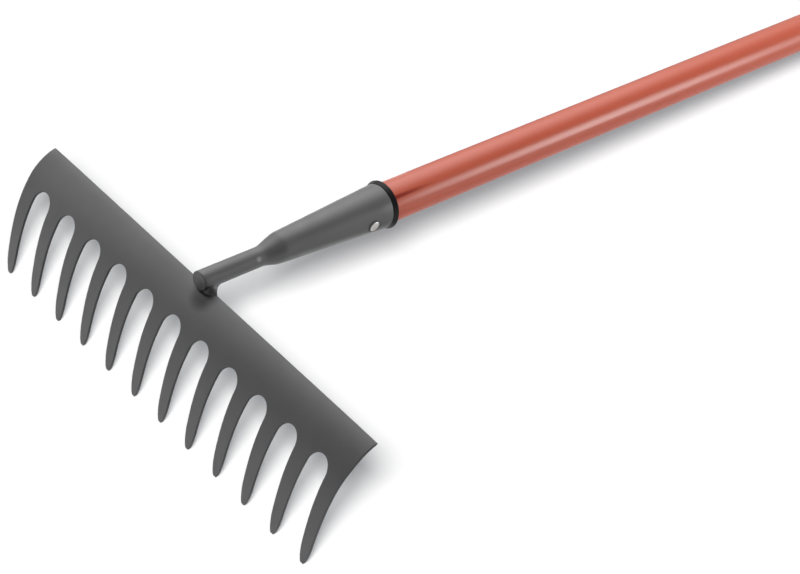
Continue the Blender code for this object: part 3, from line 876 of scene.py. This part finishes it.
# %% Sizes of the weld
BEAD_FRONT = 0.0045  # length over the sheet
BEAD_BACK = 0.0083  # length beyond the sheet's top edge, where the bead runs out along the neck
BEAD_TOE = 0.005  # how far the bead stands out beside the neck
BEAD_NARROWING = 1.6  # 1 would narrow it in straight lines
BEAD_END_TUCK = 0.0024  # how far its ends lie in under the neck
BEAD_FACE_OUT = 0.4  # these two shares make the face hollow
BEAD_FACE_UP = 0.25
BEAD_CLIMB = math.radians(72)  # round the neck from its lowest line
BEAD_CLIMB_AT_ENDS = math.radians(48)
BEAD_TOE_HEIGHT = 0.0004
BEAD_ROOT = 0.0002
RIPPLE_SPACING = 0.0011
RIPPLE_HEIGHT = 0.00012
BEAD_FACE_STEPS = 14
BEAD_FRONT_RINGS = 16
BEAD_BACK_RINGS = 32
print("each bead is", round(1000 * (BEAD_FRONT + BEAD_BACK), 1), "mm long")


# %% The weld's cross-section
def bead_spread(x):
    """How near its end the bead is, its width as a share, and the height of its underside."""
    if x > 0:
        share = x / BEAD_BACK
        width = (1 - share) ** BEAD_NARROWING
        return share, width, sheet_height(x) - BEAD_ROOT - SHEET * (1 - share)
    share = -x / BEAD_FRONT
    return share, (1 - share) ** (1 / BEAD_NARROWING), sheet_height(x) - SHEET / 2


def bead_section(x):
    """Cross-section of the bead on the -Y side of the neck, at one place along the neck."""
    share, width, underside = bead_spread(x)
    toe = NECK_RADIUS - BEAD_END_TUCK + (BEAD_TOE + BEAD_END_TUCK) * width
    climb = BEAD_CLIMB + (BEAD_CLIMB_AT_ENDS - BEAD_CLIMB) * share ** 2
    brim = sheet_height(x) + BEAD_TOE_HEIGHT
    on_neck = Vector((0, -math.sin(climb), -math.cos(climb)))
    neck_axis = Vector((x, 0, -NECK_DROP))
    start = Vector((x, -toe, brim))
    end = neck_axis + NECK_RADIUS * on_neck
    drawn_to = Vector((x, end.y + BEAD_FACE_OUT * (start.y - end.y),
                       start.z + BEAD_FACE_UP * (end.z - start.z)))
    swell = RIPPLE_HEIGHT * math.cos(2 * math.pi * x / RIPPLE_SPACING) * (1 - share)
    face = []
    for i in range(BEAD_FACE_STEPS + 1):
        t = i / BEAD_FACE_STEPS
        bow = 4 * t * (1 - t)
        point = start * (1 - t) ** 2 + drawn_to * 2 * t * (1 - t) + end * t * t
        face.append(point + Vector((0, -swell * bow, swell * bow)))
    outer = [Vector((x, 0.0, underside)), Vector((x, -toe + BEAD_TOE_HEIGHT, underside)),
             Vector((x, -toe, (underside + brim) / 2))]
    inner = [neck_axis + NECK_RADIUS / 2 * on_neck, neck_axis - Vector((0, 0, NECK_RADIUS / 2))]
    return outer + face + inner


print("a section of the bead has", len(bead_section(0)), "points")

# %% The weld's mesh
bead_places = evenly(-BEAD_FRONT, 0, BEAD_FRONT_RINGS)
bead_places += evenly(0, BEAD_BACK, BEAD_BACK_RINGS) + [BEAD_BACK]
for name, side, node in (("weld_bead_near", 1, "weld_bead_right"),
                         ("weld_bead_far", -1, "weld_bead_left")):
    bead = skin([bead_section(x) for x in bead_places])
    bmesh.ops.scale(bead, vec=(1, side, 1), verts=bead.verts)
    finish_piece(name, bead, powder_coated_weld, [node], sharp_angle=60)

# %% [markdown]
# ## The handle tube
#
# A drawn tube with the coat on it. Its lower end is drawn down to the socket's taper, so it wedges in
# the mouth. A plain cylinder would look the same from outside, but each mesh is a result of its own, so
# the tube has its wall, its open ends and its wedge. It is made of rings, as the socket is.

# %% The handle tube's mesh
TUBE_WALL = 0.0012
TUBE_INSERTION = 0.058
CAP_END_THICKNESS = 0.020
TUBE_SEGMENTS = 128
TUBE_RINGS = 40
tube_start = MOUTH - TUBE_INSERTION
tube_end = REACH - CAP_END_THICKNESS - GAP
wedge_radius = TUBE_RADIUS - CONE_SLOPE * TUBE_INSERTION
wedge_centre = socket_station(tube_start)[2]
outside = [(tube_start, wedge_radius, wedge_centre)]
outside += [(x, TUBE_RADIUS, 0.0) for x in evenly(MOUTH, tube_end, TUBE_RINGS) + [tube_end]]
inside = [(tube_end, TUBE_RADIUS - TUBE_WALL, 0.0), (MOUTH, TUBE_RADIUS - TUBE_WALL, 0.0),
          (tube_start, wedge_radius - TUBE_WALL, wedge_centre)]
tube_rings = [circle(x, radius, TUBE_SEGMENTS, centre) for x, radius, centre in outside + inside]
finish_piece("coated_tube", skin(tube_rings, endless=True), extruded_plastic_coat,
             ["handle_tube"])

# %% [markdown]
# ## The collar
#
# A black ring closes the joint between the socket and the tube. It starts with the socket's own size,
# flares towards the grip and ends in a rounded rim. Its back is flat, with a small chamfer at the tube.
# A cylinder with a Bevel modifier would round every edge alike, so the ring's profile is drawn point by
# point and turned round the tube.

# %% The collar's mesh
COLLAR_LENGTH = 0.0036
COLLAR_FLARE = 0.0014
HAIR = 0.00002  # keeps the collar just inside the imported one
COLLAR_RADIUS = MOUTH_RADIUS + COLLAR_FLARE - HAIR
COLLAR_ROUNDING = 0.0006
COLLAR_CHAMFER = 0.0003
FRONT_ROUNDING = 0.0001
FLARE_STEPS = 6
collar_start = MOUTH + GAP
collar_end = collar_start + COLLAR_LENGTH
collar_bore = TUBE_RADIUS + GAP
rim = rounded(collar_end, COLLAR_RADIUS, COLLAR_ROUNDING, 1)
flare_front = Vector((collar_start + FRONT_ROUNDING, MOUTH_RADIUS))
flare = [flare_front.lerp(Vector(rim[0]), i / FLARE_STEPS) for i in range(FLARE_STEPS)]
collar_profile = [(collar_start, collar_bore), (collar_start, MOUTH_RADIUS - FRONT_ROUNDING)]
collar_profile += flare + rim
collar_profile += [(collar_end, collar_bore + COLLAR_CHAMFER),
                   (collar_end - COLLAR_CHAMFER, collar_bore)]
collar_rings = [circle(x, radius, TUBE_SEGMENTS) for x, radius in collar_profile]
finish_piece("black_collar", skin(collar_rings, endless=True), moulded_black_plastic,
             ["collar"])

# %% [markdown]
# ## The rivet
#
# One solid rivet goes through the socket and the tube. Both heads are low domes in their dishes.
# Flattened spheres could stand for them, but a profile turned round the rivet's own axis makes both
# heads and the shank one closed body, with flat seats and upright rims.

# %% The rivet's mesh
RIVET_SHANK_RADIUS = 0.002
RIVET_SEAT_CLEARANCE = 0.00005
RIVET_CHAMFER = 0.0001
RIVET_STEPS = 12
RIVET_SEGMENTS = 48


def turn_across(bm, x, tilt):
    """Turn a piece made round X so that it lies across the handle at x."""
    turned = Matrix.Translation((x, 0, 0)) @ Matrix.Rotation(tilt, 4, "X")
    turned = turned @ Matrix.Rotation(math.radians(90), 4, "Z")
    bmesh.ops.transform(bm, matrix=turned, verts=bm.verts)
    return bm


def rivet_mesh():
    """One side of the rivet from its shank to the top of its dome, and its mirror image."""
    seat = cone_radius(RIVET_X) - DISH_DEPTH + RIVET_SEAT_CLEARANCE
    half = [(seat, RIVET_SHANK_RADIUS), (seat, RIVET_HEAD_RADIUS - RIVET_CHAMFER),
            (seat + RIVET_CHAMFER, RIVET_HEAD_RADIUS)]
    for i in range(RIVET_STEPS):
        angle = QUARTER_TURN * i / RIVET_STEPS
        height = RIVET_HEAD_EDGE + (RIVET_HEAD_HEIGHT - RIVET_HEAD_EDGE) * math.sin(angle)
        half.append((seat + height, RIVET_HEAD_RADIUS * math.cos(angle)))
    profile = [(-x, radius) for x, radius in reversed(half)] + half
    turned = skin([circle(x, radius, RIVET_SEGMENTS) for x, radius in profile])
    return turn_across(turned, RIVET_X, RIVET_TILT)


finish_piece("plated_rivet", rivet_mesh(), zinc_plated_steel, ["rivet"])

# %% [markdown]
# ## The end cap
#
# The grip end isn't in the photograph. Such tubes are closed by a push-on cap: a sleeve, with a few
# shallow rings for the hand, and a thick end with a hole to hang the rake by. The cap is a turned
# profile too. A hole across it can't be turned, so a Boolean cuts it. The edge that a Boolean leaves is
# hard to bevel, so the cutter flares at both ends and the hole gets its flared lips from that.

# %% The end cap's mesh
CAP_WALL = 0.0013
CAP_RADIUS = TUBE_RADIUS + GAP + CAP_WALL
CAP_SLEEVE = 0.045
CAP_ROUNDING = 0.003
CAP_LIP_ROUNDING = 0.0006
CAP_SEGMENTS = 96
GRIP_RINGS = 5
RING_PITCH = 0.006
RING_HALF_WIDTH = 0.001
RING_DEPTH = 0.0004
RING_STEPS = 8
FIRST_RING = 0.009
cap_start = REACH - CAP_END_THICKNESS - CAP_SLEEVE
cap_profile = [(REACH - CAP_END_THICKNESS, TUBE_RADIUS + GAP), (cap_start, TUBE_RADIUS + GAP)]
cap_profile += rounded(cap_start, CAP_RADIUS, CAP_LIP_ROUNDING, -1, steps=4)[::-1]
for ring in range(GRIP_RINGS):
    groove = cap_start + FIRST_RING + ring * RING_PITCH
    for step in range(RING_STEPS + 1):
        angle = math.pi * step / RING_STEPS
        cap_profile.append((groove - RING_HALF_WIDTH * math.cos(angle),
                            CAP_RADIUS - RING_DEPTH * math.sin(angle)))
cap_profile += rounded(REACH, CAP_RADIUS, CAP_ROUNDING, 1, steps=10)
cap_rings = [circle(x, radius, CAP_SEGMENTS) for x, radius in cap_profile]
end_cap = finish_piece("push_on_cap", skin(cap_rings), moulded_black_plastic,
                       ["end_cap"])

# %% The hanging hole, with flared lips
HANG_HOLE_RADIUS = 0.005
LIP_DEPTH = 0.002
LIP_FLARE = 0.7
CUTTER_REACH = 1.1  # times the cap's radius, so that the cutter stands out on both sides
CUTTER_STEPS = 12  # on each side
CUTTER_SEGMENTS = 48
hole_profile = []
for i in range(-CUTTER_STEPS, CUTTER_STEPS + 1):
    along = CAP_RADIUS * CUTTER_REACH * i / CUTTER_STEPS
    lip = max(abs(along) - (CAP_RADIUS - LIP_DEPTH), 0.0)
    hole_profile.append((along, HANG_HOLE_RADIUS + LIP_FLARE * lip))
hole_bm = skin([circle(x, radius, CUTTER_SEGMENTS) for x, radius in hole_profile])
turn_across(hole_bm, REACH - CAP_END_THICKNESS / 2, 0)
bmesh.ops.transform(hole_bm, matrix=rake_axes, verts=hole_bm.verts)
bmesh.ops.recalc_face_normals(hole_bm, faces=hole_bm.faces)
hole_mesh = bpy.data.meshes.new("hanging_hole")
hole_bm.to_mesh(hole_mesh)
hole_bm.free()
hole_cutter = bpy.data.objects.new("hanging_hole", hole_mesh)
bpy.context.scene.collection.objects.link(hole_cutter)
cut = end_cap.modifiers.new("hanging_hole", "BOOLEAN")
cut.object = hole_cutter
bpy.context.view_layer.update()
cut_mesh = bpy.data.meshes.new_from_object(end_cap.evaluated_get(bpy.context.evaluated_depsgraph_get()))
end_cap.modifiers.clear()
end_cap.data = cut_mesh
end_cap.data.shade_smooth()
end_cap.data.set_sharp_from_angle(angle=math.radians(SHARP_ANGLE))
bpy.data.objects.remove(hole_cutter)
print("end cap with its hole has", len(cut_mesh.polygons), "faces")

# %% [markdown]
# ## The floor
#
# The rake lies on a wide sheet of white paper. The paper shows a soft shadow right beside the rake, and
# is plain white elsewhere. Three quarters of that white is light from one lamp, which stands 15 cm from
# where the photograph was taken. With that lamp alone the shadow would be too dark, so the rest is a
# glow that only the camera, gloss and glass see. The lamp lights the paper less the farther a place is
# from the line that it points along, and the glow makes up for that. The lamp is slightly warm and the
# glow is as much too cool, so the paper is white and its shadows are cool.

# %% Where the shadow lamp stands
SHADOW_LAMP_LEFT = 0.068
SHADOW_LAMP_UP = 0.132
lamp_place = camera.matrix_world @ Vector((-SHADOW_LAMP_LEFT, SHADOW_LAMP_UP, 0))
lamp_direction = camera.matrix_world.to_3x3() @ Vector((0, 0, -1))
print("shadow lamp", round(math.hypot(SHADOW_LAMP_LEFT, SHADOW_LAMP_UP), 3), "m from the camera")

# %% White paper
PAPER_ALBEDO = 0.3  # grey under a strong lamp looks as white, and picks up less red from the tube
LAMP_SHARE = 0.745  # of the paper's white, on the line that the lamp points along
LAMP_TINT = (1.015, 1.0, 0.98)
SHORT_OF_WHITE = [1 - LAMP_SHARE * c for c in LAMP_TINT]


def white_paper():
    """Matt paper, with a glow that takes up what the lamp leaves short of white."""
    material, tree = new_material("white_paper")
    place = add_node(tree, "TexCoord").outputs["Object"]
    ray = add_node(tree, "VectorMath", {"operation": "SUBTRACT"}, {0: place, 1: lamp_place})
    ray = add_node(tree, "VectorMath", {"operation": "NORMALIZE"}, {0: ray.outputs["Vector"]})
    cosine = add_node(tree, "VectorMath", {"operation": "DOT_PRODUCT"}, {
        0: ray.outputs["Vector"], 1: lamp_direction})
    glow = add_node(tree, "Mix", {"data_type": "RGBA"}, {
        "Factor": cosine.outputs["Value"], 6: (1, 1, 1, 1), 7: (*SHORT_OF_WHITE, 1)})
    path = add_node(tree, "LightPath").outputs
    seen = add_node(tree, "Math", {"operation": "MAXIMUM"}, {
        0: path["Is Camera Ray"], 1: path["Is Glossy Ray"]})
    seen = add_node(tree, "Math", {"operation": "MAXIMUM"}, {
        0: seen.outputs[0], 1: path["Is Transmission Ray"]})
    light = add_node(tree, "Emission", links={"Color": glow.outputs[2], "Strength": seen.outputs[0]})
    paper = add_node(tree, "BsdfDiffuse", links={"Color": (PAPER_ALBEDO, PAPER_ALBEDO, PAPER_ALBEDO, 1)})
    both = add_node(tree, "AddShader", links={0: paper.outputs[0], 1: light.outputs[0]})
    add_node(tree, "OutputMaterial", links={"Surface": both.outputs[0]})
    return material


print("the paper glows", [round(c, 3) for c in SHORT_OF_WHITE])

# %% White floor
FLOOR_SIZE = 400.0  # metres, so that its far edge lies at the horizon
FLOOR_DROP = 0.0003  # keeps it just below the tine tips
floor_mesh = bpy.data.meshes.new("floor")
half_floor = FLOOR_SIZE / 2
floor_mesh.from_pydata([(-half_floor, -half_floor, 0), (half_floor, -half_floor, 0),
                        (half_floor, half_floor, 0), (-half_floor, half_floor, 0)], [], [(0, 1, 2, 3)])
floor_mesh.materials.append(white_paper())
floor = bpy.data.objects.new("floor", floor_mesh)
floor.location.z = -FLOOR_DROP
lit_floor = bpy.data.collections.new("lit_floor")
bpy.context.scene.collection.children.link(lit_floor)
lit_floor.objects.link(floor)
print("floor", FLOOR_SIZE, "m wide")

# %% [markdown]
# Glossy tubes on white paper look washed out along both edges, because the paper mirrors in them there.
# A photographer lays grey card just outside what the camera sees. This card lies under the handle and
# behind it instead, and only reflections see it. It is half as bright as the paper in front and darker
# behind, and it is cut at a slant, along the way that the tube's upper edge mirrors, so that the socket
# doesn't mirror it too.

# %% The card's grey
CARD_LEVEL = 0.5  # of the paper's white
CARD_LEVEL_BEHIND = 0.3
CARD_FADE = 0.15  # metres behind the handle over which one level turns into the other
card_material, card_tree = new_material("grey_card")
card_place = add_node(card_tree, "TexCoord").outputs["Object"]
behind = add_node(card_tree, "SeparateXYZ", links={"Vector": card_place}).outputs["Y"]
card_level = add_node(card_tree, "MapRange", links={
    "Value": behind, "From Max": CARD_FADE, "To Min": CARD_LEVEL, "To Max": CARD_LEVEL_BEHIND})
card_surface = add_node(card_tree, "Emission", links={"Strength": card_level.outputs["Result"]})
add_node(card_tree, "OutputMaterial", links={"Surface": card_surface.outputs[0]})
print("card", CARD_LEVEL, "as bright as the paper in front and", CARD_LEVEL_BEHIND, "behind")

# %% Grey card
CARD_FRONT = -0.16
CARD_BACK = 1.2
CARD_START = 0.1  # from the tube's lower end, behind the handle
CARD_SLANT = 0.78  # metres along the handle for each metre behind it
tube_low, tube_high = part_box("handle_tube")
card_mesh = bpy.data.meshes.new("grey_card")
slant = CARD_SLANT * CARD_BACK
card_corners = [(tube_low[0], CARD_FRONT, 0), (tube_high[0], CARD_FRONT, 0),
                (tube_high[0] + slant, CARD_BACK, 0), (tube_low[0] + CARD_START + slant, CARD_BACK, 0),
                (tube_low[0] + CARD_START, 0, 0)]
card_mesh.from_pydata(card_corners, [], [range(len(card_corners))])
card_mesh.materials.append(card_material)
card = bpy.data.objects.new("grey_card", card_mesh)
bpy.context.scene.collection.objects.link(card)
for ray in ("camera", "diffuse", "transmission", "volume_scatter", "shadow"):
    setattr(card, "visible_" + ray, False)
print("grey card", round(CARD_BACK - CARD_FRONT, 2), "m deep")

# %% [markdown]
# ## Light
#
# The shading on the tube and the socket says what stood round the rake. A very large soft box hung over
# and behind it, which gives the tube, the socket and the bend of the head their broad highlight. A
# dimmer strip stood at the left. A smaller, brighter box at the right of the camera makes the thin
# streak along the tube, and the camera's own side was dark.
#
# A picture of a studio, wrapped round the scene, could light it too, but boxes can be moved and sized
# one by one until each highlight fits. Light linking lets these boxes light only the rake, and the lamp
# beside the camera light only the floor, so shading and shadow can be matched one by one.

# %% Room: bright along the horizon and dim above
ROOM_HORIZON = 0.6
ROOM_ABOVE = 0.24
HORIZON_BAND = 0.22  # sine of the elevation at which the room is down to its dim level

world = bpy.data.worlds.new("room")
bpy.context.scene.world = world
world.use_nodes = True
world.node_tree.nodes.clear()
direction = add_node(world.node_tree, "TexCoord").outputs["Generated"]
height = add_node(world.node_tree, "SeparateXYZ", links={"Vector": direction}).outputs["Z"]
room_level = add_node(world.node_tree, "MapRange", {"interpolation_type": "SMOOTHSTEP"}, {
    "Value": height, "From Min": 0.0, "From Max": HORIZON_BAND,
    "To Min": ROOM_HORIZON, "To Max": ROOM_ABOVE})
room = add_node(world.node_tree, "Background", links={"Strength": room_level.outputs["Result"]})
add_node(world.node_tree, "OutputWorld", links={"Surface": room.outputs[0]})
print("room level", ROOM_HORIZON, "at the horizon and", ROOM_ABOVE, "above",
      round(math.degrees(math.asin(HORIZON_BAND))), "degrees")


# %% Soft boxes
LIT_PLACE = Vector((0.25, 0, 0))  # on the handle; every box faces it


def soft_box(name, place, width, height, radiance):
    """A soft box that faces the rake and fades to its edges; radiance 1 is as bright as white paper."""
    lamp = bpy.data.lights.new(name, "AREA")
    lamp.shape = "RECTANGLE"
    lamp.size = width
    lamp.size_y = height
    lamp.energy = radiance * math.pi * width * height
    lamp.use_nodes = True
    tree = lamp.node_tree
    tree.nodes.clear()
    across = add_node(tree, "NewGeometry").outputs["Parametric"]  # runs from 0 to 1 both ways
    from_middle = add_node(tree, "VectorMath", {"operation": "DISTANCE"}, {0: across, 1: (0.5, 0.5, 0)})
    fade = add_node(tree, "MapRange", {"interpolation_type": "SMOOTHSTEP"}, {
        "Value": from_middle.outputs["Value"], "From Min": 0.5, "From Max": 0.0})
    light = add_node(tree, "Emission", links={"Strength": fade.outputs["Result"]})
    add_node(tree, "OutputLight", links={"Surface": light.outputs[0]})
    box = bpy.data.objects.new(name, lamp)
    bpy.context.scene.collection.objects.link(box)
    facing = (place - LIT_PLACE).to_track_quat("Z", "Y")
    box.matrix_world = rake_axes @ Matrix.LocRotScale(place, facing, None)
    box.light_linking.receiver_collection = lit_pieces
    box.visible_camera = False
    print(name, round(lamp.energy, 1), "watts")


soft_box("overhead_box", Vector((0.74, 0.86, 1.26)), width=3.9, height=4.0, radiance=3.25)
soft_box("left_strip", Vector((-0.38, 0.49, 0.45)), width=0.52, height=1.6, radiance=2.4)
soft_box("front_box", Vector((1.16, -0.806, 0.247)), width=0.975, height=1.066, radiance=8.6)

# %% Shadow lamp beside the camera
SHADOW_LAMP_SIZE = 0.3
SHADOW_LAMP_POWER = 23.6  # watts at one metre; it grows with distance, which lights the floor evenly

shadow_data = bpy.data.lights.new("shadow_lamp", "AREA")
shadow_data.shape = "DISK"
shadow_data.size = SHADOW_LAMP_SIZE
shadow_data.energy = SHADOW_LAMP_POWER
shadow_data.use_nodes = True
shadow_tree = shadow_data.node_tree
shadow_tree.nodes.clear()
fall_off = add_node(shadow_tree, "LightFalloff", links={"Strength": 1.0}).outputs
cubed = add_node(shadow_tree, "Math", {"operation": "MULTIPLY"}, {
    0: fall_off["Constant"], 1: fall_off["Linear"]})
shadow_light = add_node(shadow_tree, "Emission", links={
    "Color": (*LAMP_TINT, 1), "Strength": cubed.outputs[0]})
add_node(shadow_tree, "OutputLight", links={"Surface": shadow_light.outputs[0]})
shadow_lamp = bpy.data.objects.new("shadow_lamp", shadow_data)
bpy.context.scene.collection.objects.link(shadow_lamp)
shadow_lamp.matrix_world = Matrix.LocRotScale(lamp_place, camera.matrix_world.to_quaternion(), None)
shadow_lamp.light_linking.receiver_collection = lit_floor
shadow_lamp.visible_camera = False
print("shadow lamp", SHADOW_LAMP_SIZE, "m across")
